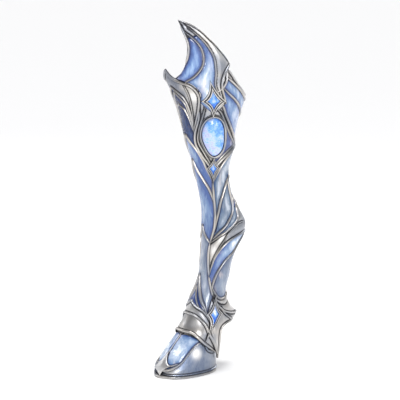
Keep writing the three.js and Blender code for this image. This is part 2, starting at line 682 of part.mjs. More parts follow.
// The hoof: a toe shell and a quarter shell that meet under a slanting band, on a sole plate.
const band = [[2, 71], [18, 69], [28, 60], [35, 46], [44, 30], [60, 20], [90, 13]];
const hoofRim = [[2, 71], [30, 78], [60, 84], [90, 84]];
const quarterRim = [[-90, 42], [-50, 42], [-26, 45], [-10, 51], [0, 62], [2, 71]];
const bandOver = [...band, ...reversed(mirror(band)).slice(1)];
const quarterLow = soleThickness + quarterRise;
addPlate('hoof_toe_shell', {
  outline: [...bandOver, ...mirror(hoofRim).slice(1), ...reversed(hoofRim).slice(1, -1)],
  seams: [bandOver],
  edges: [bandOver],
  inside: [[[90, 86], [90, 50], [90, 16]]],
}, hoof);
addPlate('hoof_quarter_shell', {
  outline: [...overBack(quarterRim), ...band.slice(1, -1), [88, 13], [88, quarterLow],
    [-268, quarterLow], [-268, 13], ...reversed(backMirror(band)).slice(1, -1)],
  seams: bothBacks(band),
  inside: [overBack(quarterRim.slice(0, -1))],
}, hoof);
addInlays(over('hoof_toe_shell', hoof), [
  ['hoof_petal_outer', [60, 50], blueEnamel],
  ['hoof_petal_inner', [120, 50], blueEnamel],
], hoof);
const ornament = [[90, 42], [85, 25], [66, 19], [80, 12], [90, 7], [100, 12], [114, 19], [95, 25]];
addMesh('toe_ornament', wrapped(hoof, slab(ornament, ribHeight + gap, ornamentTop)), steel);

const soleOutline = Array.from({ length: 360 / wrapStep }, (_, index) => {
  const degrees = index * wrapStep;
  const { x, y } = hoof.point(degrees, 0, degrees === 90 ? solePoint : soleLip);
  return new THREE.Vector2(x, y);
});
const sole = new THREE.ExtrudeGeometry(new THREE.Shape(soleOutline), { depth: soleThickness, bevelEnabled: false });
addMesh('sole_plate', sole, darkSteel);

export default greave;
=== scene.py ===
import math

import bmesh
import bpy
import numpy as np
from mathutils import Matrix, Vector, kdtree
from mathutils.geometry import delaunay_2d_cdt


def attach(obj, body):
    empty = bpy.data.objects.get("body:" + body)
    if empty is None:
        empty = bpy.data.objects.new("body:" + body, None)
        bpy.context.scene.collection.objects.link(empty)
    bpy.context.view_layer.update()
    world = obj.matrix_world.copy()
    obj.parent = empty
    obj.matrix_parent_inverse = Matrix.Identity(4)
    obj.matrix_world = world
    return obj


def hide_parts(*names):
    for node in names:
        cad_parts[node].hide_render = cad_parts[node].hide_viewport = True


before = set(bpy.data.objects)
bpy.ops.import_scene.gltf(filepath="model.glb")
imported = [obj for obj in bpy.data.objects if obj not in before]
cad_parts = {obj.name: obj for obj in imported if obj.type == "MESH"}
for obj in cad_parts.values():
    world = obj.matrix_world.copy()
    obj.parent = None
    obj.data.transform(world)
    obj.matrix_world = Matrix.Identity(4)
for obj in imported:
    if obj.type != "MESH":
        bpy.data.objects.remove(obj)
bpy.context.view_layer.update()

# The greave is drawn on charts wrapped round the leg and the hoof. A chart point is degrees round
# from the outer side towards the front, and millimetres up. Lift is millimetres above the surface.
mm = 0.001
twistPivot = 15
degreeLength = 0.85  # millimetres to a degree, near enough for spacing on a chart
sheetThickness = 1.8
probe = 2  # how far either way the surface's slope is taken
lineStep = 1.8
samePlace = 0.05
closeBy = 0.3
nudge = 1e-4  # keeps a point off an outline's own corners
overrun = 8

# height, middle y, reach forward, reach back, half width, roundness in front, roundness behind, turn
legSections = [
    [10, -34, 80, 62, 54, 2.4, 2.2, 12],
    [61, -20, 61, 60, 50, 2.3, 2.1, 12],
    [90, -1, 55, 56, 46, 2.2, 2, 12],
    [112, 12, 52, 78, 42, 2, 1.7, 11],
    [132, 16, 46, 56, 39, 2, 1.8, 9],
    [150, 20, 41, 42, 35, 2, 2, 6],
    [168, 24, 35, 33, 32, 2, 2, 3],
    [203, 33, 33, 32, 30, 2, 2, 0],
    [238, 39, 34, 34, 31, 2, 2, 0],
    [273, 42, 34, 49, 34, 2, 1.7, 0],
    [293, 43, 35, 60, 36, 2, 1.5, 0],
    [310, 44, 36, 61, 37, 2, 1.5, 0],
    [342, 42, 34, 48, 34, 2, 1.7, 0],
    [377, 36, 33, 35, 31, 2, 2, 0],
    [411, 29, 33, 34, 31, 2, 2, 0],
    [445, 26, 39, 38, 36, 2, 2, 0],
    [479, 26, 48, 47, 43, 2, 2, 0],
    [513, 22, 55, 54, 49, 2, 2, 0],
    [547, 22, 61, 62, 56, 2, 2, 0],
    [590, 20, 73, 76, 64, 2, 2, 0],
    [640, 4, 79, 64, 68, 2, 2, 0],
    [690, 0, 80, 56, 66, 2, 2, 0],
    [750, -8, 80, 52, 62, 2, 2, 0],
]
hoofSections = [
    [0, -34, 76, 63, 49, 2.6, 2.2, 12],
    [15, -34, 72, 62, 48, 2.5, 2.2, 12],
    [30, -31, 66, 59, 46, 2.4, 2.2, 12],
    [45, -26, 60, 54, 44, 2.4, 2.1, 12],
    [60, -20, 53, 51, 42, 2.3, 2.1, 12],
    [78, -10, 46, 44, 39, 2.2, 2, 12],
    [96, 0, 42, 36, 36, 2.1, 2, 12],
]


class Wrap:
    def __init__(self, rows):
        self.rows = np.array(rows, float)
        heights = self.rows[:, 0]
        rate = np.diff(self.rows, axis=0) / np.diff(heights)[:, None]
        below = np.diff(heights)[:-1, None]
        above = np.diff(heights)[1:, None]
        inner = (rate[:-1] * above + rate[1:] * below) / (below + above)
        self.slopes = np.vstack([rate[:1], np.where(rate[:-1] * rate[1:] <= 0, 0, inner), rate[-1:]])

    def section(self, heights):
        rows = self.rows
        z = np.clip(heights, rows[0, 0], rows[-1, 0])
        i = np.clip(np.searchsorted(rows[:, 0], z, side="right") - 1, 0, len(rows) - 2)
        span = rows[i + 1, 0] - rows[i, 0]
        t = (z - rows[i, 0]) / span
        start = (2 * t**3 - 3 * t**2 + 1)[:, None]
        leaving = ((t**3 - 2 * t**2 + t) * span)[:, None] * self.slopes[i]
        arriving = ((t**3 - t**2) * span)[:, None] * self.slopes[i + 1]
        return (start * rows[i] + (1 - start) * rows[i + 1] + leaving + arriving).T

    def surface(self, degrees, heights):
        _, middle, front, back, half, roundFront, roundBack, turn = self.section(heights)
        c, s = np.cos(np.radians(degrees)), np.sin(np.radians(degrees))
        power = 2 / np.where(s >= 0, roundFront, roundBack)
        x = half * np.sign(c) * np.abs(c) ** power
        y = -np.where(s >= 0, front, back) * np.sign(s) * np.abs(s) ** power
        twist = np.radians(turn)
        dy = y + middle - twistPivot
        turned = twistPivot + x * np.sin(twist) + dy * np.cos(twist)
        return np.stack([x * np.cos(twist) - dy * np.sin(twist), turned, heights], axis=1)

    def frameAt(self, points):
        u, v = np.array(points, float).T
        base = self.surface(u, v)
        across = self.surface(u + probe, v) - self.surface(u - probe, v)
        along = self.surface(u, v + probe) - self.surface(u, v - probe)
        normal = np.cross(along, across)
        normal /= np.linalg.norm(normal, axis=1)[:, None]
        return base, normal, np.linalg.norm(across, axis=1) / (2 * probe)

    def place(self, points, lift):
        base, normal, _ = self.frameAt(points)
        return (base + normal * np.broadcast_to(lift, len(base))[:, None]) * mm


leg = Wrap(legSections)
hoof = Wrap(hoofSections)


# Chart lines

def mirror(line):
    return [[180 - u, v] for u, v in line]


def backMirror(line):
    return [[-180 - u, v] for u, v in line]


def flowing(line):
    # a smooth line through the given points
    p = np.array(line, float) * (degreeLength, 1)
    chords = np.linalg.norm(np.diff(p, axis=0), axis=1)
    knots = np.concatenate([[0], np.cumsum(np.sqrt(chords))])
    slopes = np.gradient(p, knots, axis=0)
    out = []
    for i, chord in enumerate(chords):
        t = np.linspace(0, 1, max(1, math.ceil(chord / lineStep)), endpoint=False)[:, None]
        span = knots[i + 1] - knots[i]
        start = 2 * t**3 - 3 * t**2 + 1
        leaving = (t**3 - 2 * t**2 + t) * span * slopes[i]
        arriving = (t**3 - t**2) * span * slopes[i + 1]
        out.append(start * p[i] + (1 - start) * p[i + 1] + leaving + arriving)
    return np.vstack([*out, p[-1:]]) / (degreeLength, 1)


def chained(*parts):
    line = np.vstack(parts)
    apart = np.linalg.norm(np.diff(line, axis=0, prepend=line[-1:] + 1), axis=1) > samePlace
    return line[apart]


def overFront(line):
    return chained(flowing(mirror(line))[::-1], flowing(line))


def overBack(line):
    return chained(flowing(backMirror(line))[::-1], flowing(line))


def bothSides(line):
    return [flowing(line), flowing(mirror(line))]


def bothBacks(line):
    return [flowing(line), flowing(backMirror(line))]


def clipped(line, outline):
    # the longest stretch of a line that lies inside an outline
    inside = np.append(insideOf(outline, np.asarray(line) + nudge), False)
    best, start = (0, 0), None
    for i, here in enumerate(inside):
        if here and start is None:
            start = i
        elif not here and start is not None:
            best = max(best, (start, i), key=lambda run: run[1] - run[0])
            start = None
    first, last = best
    return line[max(first - 1, 0):last + 1]


def extended(line):
    # carries a line on at both ends, so that it meets what it nearly reaches
    line = np.asarray(line, float)
    back = min(3, len(line) - 1)
    ends = []
    for end, inner in ((line[0], line[back]), (line[-1], line[-1 - back])):
        away = (end - inner) * (degreeLength, 1)
        ends.append(end + away / np.linalg.norm(away) * overrun / (degreeLength, 1))
    return np.vstack([ends[0], line, ends[1]])


def closed(*parts):
    line = chained(*parts)
    return line[:-1] if np.linalg.norm(line[0] - line[-1]) < closeBy else line


def around(turned, top, side, bottom):
    # an outline with two like sides
    return closed(flowing(turned(top))[::-1], flowing(top), flowing(side), flowing(bottom)[::-1],
                  flowing(turned(bottom)), flowing(turned(side))[::-1])


# Meshes. Every point carries an amount of painted shade, for recesses, rib flanks and edges where shade
# falls, and a tone, from deep to pale, which also carries painted highlights and shade.

plainTone = 0.5


class Shape:
    def __init__(self):
        self.points = []
        self.faces = []
        self.groove = []
        self.tone = []
        self.count = 0

    def add(self, points, faces, groove, tone=plainTone):
        self.points.append(np.asarray(points, float))
        self.faces += [tuple(i + self.count for i in face) for face in faces]
        self.groove.append(np.broadcast_to(groove, len(points)))
        self.tone.append(np.broadcast_to(tone, len(points)))
        self.count += len(points)

    def piece(self, name, material, slot, sharp=38):
        mesh = bpy.data.meshes.new(name)
        mesh.from_pydata(np.vstack(self.points).tolist(), [], self.faces)
        for label, values in (("groove", self.groove), ("tone", self.tone)):
            attribute = mesh.attributes.new(label, "FLOAT", "POINT")
            attribute.data.foreach_set("value", np.concatenate(values).astype(np.float32))
        work = bmesh.new()
        work.from_mesh(mesh)
        bmesh.ops.recalc_face_normals(work, faces=work.faces)
        work.to_mesh(mesh)
        work.free()
        mesh.shade_smooth()
        mesh.set_sharp_from_angle(angle=math.radians(sharp))
        mesh.materials.append(material)
        made = bpy.data.objects.new(name, mesh)
        bpy.context.scene.collection.objects.link(made)
        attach(made, "root")
        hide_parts(name)


def insideOf(outline, points):
    # even-odd rule, one outline edge at a time
    inside = np.zeros(len(points), bool)
    x, y = points.T
    for (x0, y0), (x1, y1) in zip(outline, np.roll(outline, -1, axis=0)):
        if y0 != y1:
            crosses = (y0 > y) != (y1 > y)
            inside ^= crosses & (x < (x1 - x0) * (y - y0) / (y1 - y0) + x0)
    return inside


def treeOf(points):
    tree = kdtree.KDTree(len(points))
    for i, point in enumerate(points):
        tree.insert(point, i)
    tree.balance()
    return tree


def distancesTo(tree, points):
    return np.array([tree.find(point)[2] for point in points])


# the skin's painted shade fades over 1.35 mm from ribs and edges, and is 0.3 as strong underneath
skin = {"spacing": 2.3, "row": 0.87, "margin": 0.55, "ribSide": 0.46, "weld": 1e-4, "paintedShade": 1.35,
        "underside": 0.3}


class Patch:
    # A stretch of a chart in small triangles, split into cells by its outline and its lines.
    def __init__(self, wrap, outline, lines, bars):
        self.wrap = wrap
        scale = np.array([degreeLength, 1])
        fixed, edges = [], []
        for line, loop in [(outline, True), *[(line, False) for line in lines]]:
            start = len(fixed)
            fixed += (np.asarray(line) * scale).tolist()
            edges += [(i, i + 1) for i in range(start, len(fixed) - 1)]
            if loop:
                edges.append((len(fixed) - 1, start))
        flatOutline = np.asarray(outline) * scale
        low, high = flatOutline.min(0), flatOutline.max(0)
        spacing = skin["spacing"]
        rows = np.arange(low[1], high[1], spacing * skin["row"])
        grid = np.array([[x + (row % 2) * spacing / 2, y] for row, y in enumerate(rows)
                         for x in np.arange(low[0], high[0], spacing)])
        grid = grid[insideOf(flatOutline, grid)]
        near = treeOf([(x, y, 0) for x, y in fixed])
        grid = grid[distancesTo(near, [(x, y, 0) for x, y in grid]) > spacing * skin["margin"]]
        corners = [Vector(p) for p in fixed + grid.tolist()]
        points, made, faces, _, origins, _ = delaunay_2d_cdt(corners, edges, [], 1, skin["weld"])
        self.points = np.array([tuple(p) for p in points]) / scale
        middles = self.points[np.array(faces)].mean(1)
        self.faces = [tuple(face) for face, keep in zip(faces, insideOf(outline, middles)) if keep]
        used = {i for face in self.faces for i in face}
        self.walls = {tuple(sorted(edge)) for edge, origin in zip(made, origins)
                      if origin and used.issuperset(edge)}
        self.base, _, _ = wrap.frameAt(self.points)
        borders = sorted({i for edge in self.walls for i in edge})
        self.depth = distancesTo(treeOf(self.base[borders]), self.base)
        self.clear = self.depth.copy()
        for line, width in bars:  # how far a point is from the side of the nearest rib
            away = distancesTo(treeOf(wrap.frameAt(line)[0]), self.base)
            self.clear = np.minimum(self.clear, away - width * skin["ribSide"])
        self.sortCells()

    def sortCells(self):
        sides = {}
        for f, face in enumerate(self.faces):
            for k in range(3):
                sides.setdefault(tuple(sorted((face[k], face[k - 1]))), []).append(f)
        self.cell = np.full(len(self.faces), -1)
        count = 0
        for first in range(len(self.faces)):
            if self.cell[first] >= 0:
                continue
            waiting = [first]
            self.cell[first] = count
            while waiting:
                face = self.faces[waiting.pop()]
                for k in range(3):
                    side = tuple(sorted((face[k], face[k - 1])))
                    for other in [] if side in self.walls else sides[side]:
                        if self.cell[other] < 0:
                            self.cell[other] = count
                            waiting.append(other)
            count += 1

    def facesAt(self, seed):
        middles = self.points[np.array(self.faces)].mean(1) - seed
        label = self.cell[np.argmin(np.linalg.norm(middles * (degreeLength, 1), axis=1))]
        return [self.faces[i] for i in np.flatnonzero(self.cell == label)]

    def sheet(self, shape, faces, top, bottom, tone):
        # a closed body between two heights over some of the faces
        used = np.unique(faces)
        index = {old: new for new, old in enumerate(used)}
        count = len(used)
        upper = [tuple(index[i] for i in face) for face in faces]
        lower = [tuple(i + count for i in face[::-1]) for face in upper]
        sides = dict.fromkeys((face[k - 1], face[k]) for face in upper for k in range(3))
        walls = [(b, a, a + count, b + count) for a, b in sides if (b, a) not in sides]
        points = self.points[used]
        heights = np.broadcast_to(top, len(self.points))[used]
        floor = np.broadcast_to(bottom, len(self.points))[used]
        places = np.vstack([self.wrap.place(points, heights), self.wrap.place(points, floor)])
        # painted shade, strongest next to ribs, plate edges and shade lines, fading away from them
        groove = np.exp(-np.maximum(self.clear[used], 0) / skin["paintedShade"])
        tones = np.broadcast_to(tone, len(self.points))[used]
        groove = np.concatenate([groove, skin["underside"] * groove])
        shape.add(places, upper + lower + walls, groove, np.tile(tones, 2))


ribShape = {"tip": 0.3, "ease": 0.16, "bow": 2.0, "around": 9, "lowest": 0.45, "paintedShade": 3.4}


def ribBody(shape, wrap, line, width, crest, root):
    # A rounded bar along a chart line, thinner towards its ends.
    points = np.asarray(line, float)
    _, _, scale = wrap.frameAt(points)
    run = np.gradient(points, axis=0) * np.stack([scale, np.ones_like(scale)], axis=1)
    run /= np.linalg.norm(run, axis=1)[:, None] + 1e-9
    across = np.stack([-run[:, 1] / scale, run[:, 0]], axis=1)
    steps = np.linalg.norm(np.diff(points * (degreeLength, 1), axis=0), axis=1)
    lengths = np.concatenate([[0], np.cumsum(steps)])
    t = lengths / lengths[-1]
    share = taper(t) * taper(1 - t)
    offsets = np.linspace(-1, 1, ribShape["around"])
    low = ribShape["lowest"]
    top = crest * (low + (1 - low) * share)
    height = root + (top - root)[:, None] * (1 - np.abs(offsets) ** ribShape["bow"])
    aside = (width / 2 * share)[:, None, None] * offsets[None, :, None]
    spread = points[:, None] + across[:, None] * aside
    n, m = len(points), len(offsets)
    places = wrap.place(spread.reshape(-1, 2), height.reshape(-1))
    faces = []
    for i in range(n - 1):
        a, b = i * m, (i + 1) * m
        faces += [(a + j, a + j + 1, b + j + 1, b + j) for j in range(m - 1)]
        faces.append((a + m - 1, a, b, b + m - 1))
    faces.append(tuple(range(m - 1, -1, -1)))
    faces.append(tuple(range((n - 1) * m, n * m)))
    # painted shade on the rib's flanks, darkest at its foot and none on its crest
    shape.add(places, faces, np.tile(np.abs(offsets) ** ribShape["paintedShade"], n))


def taper(x):
    tip = ribShape["tip"]
    return tip + (1 - tip) * np.sin(np.clip(x / ribShape["ease"], 0, 1) * math.pi / 2)


def roll(depth, height, reach):
    # a quarter round that rises from a cell's edge
    return height * np.sqrt(1 - (1 - np.clip(depth / reach, 0, 1)) ** 2)


print("charts and mesh tools are ready")


# Materials

class Value:
    def __init__(self, material, socket):
        self.material = material
        self.socket = socket

    def math(self, operation, *others):
        return self.material.node("Math", {"operation": operation}, dict(enumerate((self, *others))))

    def __add__(self, other):
        return self.math("ADD", other)

    __radd__ = __add__

    def __sub__(self, other):
        return self.math("SUBTRACT", other)

    def __rsub__(self, other):
        return self.material.node("Math", {"operation": "SUBTRACT"}, {0: other, 1: self})

    def __mul__(self, other):
        return self.math("MULTIPLY", other)

    __rmul__ = __mul__


class Nodes:
    def __init__(self, tree):
        self.tree = tree

    def node(self, kind, settings=None, values=None, output=0):
        made = self.tree.nodes.new("ShaderNode" + kind)
        for key, setting in (settings or {}).items():
            if key == "stops":
                self.setStops(made.color_ramp, setting)
            else:
                setattr(made, key, setting)
        for key, value in (values or {}).items():
            if isinstance(value, Value):
                self.tree.links.new(value.socket, made.inputs[key])
            else:
                made.inputs[key].default_value = value
        return Value(self, made.outputs[output])

    def setStops(self, ramp, stops):
        while len(ramp.elements) < len(stops):
            ramp.elements.new(0.5)
        for element, (place, color) in zip(ramp.elements, stops):
            element.position = place
            element.color = (*color, 1)

    def blend(self, share, first, second):
        pair = [(*color, 1) if isinstance(color, tuple) else color for color in (first, second)]
        settings = {"data_type": "RGBA", "clamp_factor": True}
        return self.node("Mix", settings, {0: share, 6: pair[0], 7: pair[1]}, 2)

    def band(self, value, low, high):
        return self.node("MapRange", {"interpolation_type": "SMOOTHSTEP"},
                         {"Value": value, "From Min": low, "From Max": high})


class Finish(Nodes):
    def __init__(self, name):
        self.material = bpy.data.materials.new(name)
        self.material.use_nodes = True
        super().__init__(self.material.node_tree)
        self.tree.nodes.clear()

    def attribute(self, name):
        return self.node("Attribute", {"attribute_name": name}, output="Fac")

    def places(self, stretch=(1, 1, 1)):
        source = self.node("TexCoord", output="Object")
        return self.node("Mapping", {}, {"Vector": source, "Scale": stretch})

    def noise(self, vector, scale, detail, roughness=0.55, distortion=0.0):
        values = {"Vector": vector, "Scale": scale, "Detail": detail, "Roughness": roughness,
                  "Distortion": distortion}
        return self.node("TexNoise", {}, values)

    def bump(self, height, strength, distance):
        return self.node("Bump", {}, {"Height": height, "Strength": strength, "Distance": distance})

    def surface(self, values):
        shader = self.node("BsdfPrincipled", {}, values)
        out = self.tree.nodes.new("ShaderNodeOutputMaterial")
        self.tree.links.new(shader.socket, out.inputs["Surface"])
        return self.material


steelLook = {
    "warm": (0.46, 0.437, 0.41),
    "cool": (0.27, 0.29, 0.335),
    # the next colour paints highlights and pales the settings and ornament; the one after paints shade
    "paleAndHighlight": (0.86, 0.85, 0.84),
    "shadedSpot": (0.13, 0.145, 0.185),
    "scratch": (0.9, 0.88, 0.85),
    "scratchShare": 0.12,
    # painted shade colour, nearly black, and how much of it lies in recesses and on rib flanks
    "paintedShade": (0.025, 0.025, 0.032),
    "paintedShadeShare": 0.94,
    "roughness": 0.26,
    "metallic": 0.85,
    "cloudScale": 16,
    "brushScale": 420,
    "fleckScale": 900,
    "bump": 0.0006,
}


def makeSteel(name, look):
    finish = Finish(name)
    groove = finish.attribute("groove")
    place = finish.places()
    cloud = finish.band(finish.noise(place, look["cloudScale"], 3), 0.38, 0.64)
    brush = finish.noise(finish.places((1, 1, 0.12)), look["brushScale"], 3, 0.7)
    fleck = finish.noise(place, look["fleckScale"], 2)
    color = finish.blend(cloud, look["warm"], look["cool"])
    tone = finish.attribute("tone")
    # a high tone paints a highlight or paler steel, a low tone paints shade
    color = finish.blend(finish.band(tone, 0.5, 1.1), color, look["paleAndHighlight"])
    color = finish.blend(1 - finish.band(tone, -0.1, 0.5), color, look["shadedSpot"])
    color = finish.blend(finish.band(brush, 0.3, 0.75) * look["scratchShare"], color, look["scratch"])
    # painted shade laid over the steel where the shade amount is high
    dark = finish.band(groove, 0.1, 0.6) * look["paintedShadeShare"]
    color = finish.blend(dark, color, look["paintedShade"])
    roughness = look["roughness"] + 0.12 * cloud + 0.25 * groove + 0.08 * fleck
    normal = finish.bump(brush * 0.7 + fleck * 0.3, 0.12, look["bump"])
    return finish.surface({"Base Color": color, "Roughness": roughness, "Metallic": look["metallic"],
                           "Normal": normal})


enamelLook = {
    "blue": {"deep": (0.035, 0.085, 0.27), "middle": (0.15, 0.245, 0.43), "pale": (0.43, 0.52, 0.645)},
    "deep": {"deep": (0.025, 0.055, 0.20), "middle": (0.07, 0.15, 0.38), "pale": (0.30, 0.44, 0.66)},
    "pale": {"deep": (0.09, 0.125, 0.21), "middle": (0.20, 0.245, 0.33), "pale": (0.44, 0.48, 0.54)},
    "lilac": (0.38, 0.38, 0.62),
    "peach": (0.72, 0.62, 0.58),
    # the edge colour is painted shade at an inlay's rim, next to the ribs
    "edge": (0.02, 0.03, 0.09),
    "glint": (0.80, 0.86, 0.95),
    "coat": 0.6,
    "cloudScale": 34,
    "wispScale": 120,
    "lilacScale": 26,
    "peachScale": 31,
    "bump": 0.0008,
}


def makeEnamel(name, look, shared):
    finish = Finish(name)
    groove = finish.attribute("groove")
    tone = finish.attribute("tone")
    streaked = finish.places((1, 1, 0.32))
    cloud = finish.noise(streaked, shared["cloudScale"], 5, 0.6, 0.8)
    wisp = finish.noise(streaked, shared["wispScale"], 4, 0.65, 0.4)
    shade = tone + (cloud - 0.5) * 1.5 + (wisp - 0.5) * 0.9
    stops = [(0.0, look["deep"]), (0.45, look["middle"]), (0.85, look["pale"]), (1.0, shared["glint"])]
    color = finish.node("ValToRGB", {"stops": stops}, {"Fac": shade})
    lilac = finish.band(finish.noise(finish.places((1.3, 0.8, 0.5)), shared["lilacScale"], 3), 0.54, 0.7)
    peach = finish.band(finish.noise(finish.places((0.8, 1.4, 0.6)), shared["peachScale"], 3), 0.58, 0.72)
    color = finish.blend(lilac * 0.18, color, shared["lilac"])
    color = finish.blend(peach * 0.4, color, shared["peach"])
    # painted shade at the inlay's rims
    color = finish.blend(finish.band(groove, 0.12, 0.75) * 0.9, color, shared["edge"])
    normal = finish.bump(wisp, 0.1, shared["bump"])
    return finish.surface({"Base Color": color, "Roughness": 0.2 + 0.12 * cloud, "Metallic": 0.0,
                           "Coat Weight": shared["coat"], "Coat Roughness": 0.08, "Normal": normal})


gemLook = {
    "azure": (0.03, 0.17, 0.70),
    "sky": (0.16, 0.38, 0.80),
    "milk": (0.46, 0.56, 0.78),
    "lilac": (0.36, 0.36, 0.70),
    "peach": (0.70, 0.57, 0.58),
    # the edge colour is painted shade at the gem's rim
    "edge": (0.08, 0.16, 0.5),
    "cloudScale": 62,
    "swirlScale": 150,
}


def makeGem(name, look):
    finish = Finish(name)
    groove = finish.attribute("groove")
    tone = finish.attribute("tone")
    place = finish.places()
    cloud = finish.noise(place, look["cloudScale"], 5, 0.62, 0.5)
    swirl = finish.noise(place, look["swirlScale"], 4, 0.6, 1.2)
    shade = tone + (cloud - 0.5) * 1.2 + (swirl - 0.5) * 0.9
    stops = [(0.0, look["azure"]), (0.26, look["sky"]), (0.5, look["milk"]), (0.62, look["lilac"]),
             (0.74, look["milk"]), (0.9, look["peach"])]
    color = finish.node("ValToRGB", {"stops": stops}, {"Fac": shade})
    # painted shade towards the gem's rim
    color = finish.blend(groove * 0.6, color, look["edge"])
    return finish.surface({"Base Color": color, "Roughness": 0.07 + 0.05 * cloud, "Metallic": 0.0,
                           "Coat Weight": 0.4, "Coat Roughness": 0.03})


steel = makeSteel("silveredSteel", steelLook)
quarterLook = {**steelLook, "warm": (0.30, 0.33, 0.39), "cool": (0.12, 0.16, 0.25)}
quarterSteel = makeSteel("blueingSteel", quarterLook)
soleLook = {**steelLook, "warm": (0.40, 0.385, 0.37), "cool": (0.26, 0.27, 0.30)}
soleSteel = makeSteel("soleSteel", soleLook)
enamel = {kind: makeEnamel(kind + "Enamel", enamelLook[kind], enamelLook)
          for kind in ("blue", "deep", "pale")}
moonstone = makeGem("moonstone", gemLook)
print("materials are ready")


# Lines of the outer side. Lines that run over the front start at 90 degrees, and lines that run
# over the back start at -90.
seamHigh = [[22, 409], [19, 442], [16, 475], [15, 507], [15, 549], [15, 584], [15, 598]]
strandShin = [[22, 409], [28, 384], [32, 358], [36, 332], [43, 302], [54, 277]]
strandHock = [[54, 277], [56, 258], [53, 236], [43, 206]]
strandLow = [[43, 206], [28, 182], [15, 164]]
lineA = [[90, 511], [79, 497], [62, 478], [48, 457], [36, 434], [22, 409]]
lineS = [[-90, 488], [-64, 484], [-37, 468], [-10, 444], [9, 422], [22, 409]]
lineY = [[90, 313], [79, 297], [54, 277]]
lineF = [[-90, 364], [-60, 357], [-47, 346], [-42, 330], [-21, 313], [20, 294], [54, 277]]
hockLow = [[-90, 297], [-40, 290], [3, 273], [28, 250], [38, 228], [43, 206]]
cuffTopLine = [[-90, 150], [-60, 148], [-30, 142], [-4, 149], [15, 164]]
collarHigh = [[90, 152], [71, 144], [40, 133], [28, 124], [20, 115], [2, 88], [-18, 66], [-38, 40]]
collarLow = [[90, 127], [62, 124], [31, 108], [3, 82], [-20, 60], [-37, 39]]
cuffSide = [24, 142]
strands = {
    "archHigh": [[90, 600], [82, 592], [70, 577], [64, 548], [57, 521]],
    "archLow": [[90, 574], [77, 566], [70, 552], [63, 532], [57, 515]],
    "gemFront": [[42, 572], [45, 545], [55, 515], [60, 489], [49, 468], [32, 448], [20, 432]],
    "gemBack": [[15, 592], [0, 573], [-10, 551], [-29, 524], [-50, 501], [-63, 484]],
    "gemFrontInner": [[30, 572], [36, 552], [46, 520], [51, 493], [42, 474], [30, 456], [19, 441]],
    "gemBackInner": [[18, 574], [3, 560], [-7, 542], [-22, 518], [-38, 500], [-52, 487]],
    "gemUnderInner": [[-52, 487], [-34, 481], [-14, 470], [4, 455], [17, 443]],
    "gemUnder": [[-64, 485], [-40, 476], [-18, 464], [6, 446], [20, 430]],
    "wingHigh": [[-12, 640], [-27, 623], [-40, 606], [-55, 588], [-90, 572]],
    "wingLow": [[-2, 624], [-9, 603], [-25, 583], [-55, 556], [-90, 538]],
    "shinB": [[90, 456], [76, 436], [59, 416], [42, 396], [31, 364]],
    "calfC": [[-90, 424], [-60, 418], [-36, 409], [-8, 385], [15, 357], [31, 328], [40, 304]],
    "leafD": [[-44, 413], [-38, 368], [-29, 346], [-5, 320], [24, 301], [44, 286]],
    "cannonH": [[-80, 294], [-62, 278], [-41, 257], [-8, 238], [14, 214], [22, 192], [22, 174]],
    "cannonLow": [[90, 206], [76, 184], [54, 158], [38, 142], [26, 122]],
    "notchRim": [[46, 738], [41, 718], [38, 700], [39, 680], [46, 656], [58, 637], [66, 630]],
    "crescentTop": [[-33, 352], [-48, 366], [-90, 380]],
    "finCrescent": [[41, 724], [33, 715], [23, 700], [17, 676], [20, 654], [33, 635], [52, 622]],
    "cannonHem": [[-90, 168], [-60, 166], [-30, 157], [-8, 158], [10, 170], [24, 184]],
    "cuffRib": [[12, 156], [-4, 142], [-31, 124], [-55, 117], [-90, 116]],
}
finTop = [[49, 748], [40, 744], [31, 739], [17, 726], [4, 707], [-15, 684], [-39, 658]]
bladeEdge = [[-39, 658], [-20, 642], [-4, 616], [-3, 590], [-6, 577]]
bladeInner = [[9, 577], [6, 594], [7, 614], [1, 640], [1, 667], [8, 691], [20, 714], [34, 732]]
notch = [[70, 629], [64, 633], [55, 640], [45, 658], [41, 683], [40, 700], [42, 720], [49, 748]]
prowRidge = [[90, 645], [74, 629], [57, 621], [44, 613], [38, 595], [42, 570], [49, 545], [57, 521]]
prowLow = [[90, 612], [78, 602], [67, 590], [61, 563], [57, 521]]
frontRim = [[15, 598], [30, 602], [45, 607], [60, 618], [75, 626], [90, 640]]
frontRimInside = [[90, 640], [105, 629], [125, 620], [145, 608], [165, 602]]
backRim = [[15, 598], [0, 606], [-16, 622], [-30, 645], [-38, 634], [-44, 614], [-60, 592], [-90, 588]]
backRimInside = [[-90, 588], [-120, 590], [-150, 597], [-195, 602]]
cuffLow = [[-90, 106], [-75, 104], [-54, 102], [-30, 102], [-22, 94], [-26, 80], [-37, 62], [-44, 44],
           [-47, 28]]
lameHigh = [[90, 143], [62, 136], [31, 116], [3, 92], [-16, 70], [-30, 52]]
lameLow = [[90, 94], [52, 91], [17, 75], [-10, 57], [-31, 44]]

mainRib = {"width": 6.4, "crest": 4.6}
thinRib = {"width": 5.0, "crest": 3.8}
inlayShape = {"bed": 0.05, "floor": 0.15, "rise": 1.9, "reach": 8.0, "rim": 3.0, "rimShade": 0.8,
              "rimReach": 6.0, "sharp": 60}
foldShape = {"rise": 3.0, "reach": 15.0}
ribRoot = 0.8
# the width given to a line that only lays painted shade beside it
shadeLineWidth = 0.5
shortest = 3  # a rib needs more points than this


def gradient(patch, low, high, bottom, top):
    # a tone that runs from one value at the low height to another at the high one
    v = patch.points[:, 1]
    return low + (high - low) * np.clip((v - bottom) / (top - bottom), 0, 1)


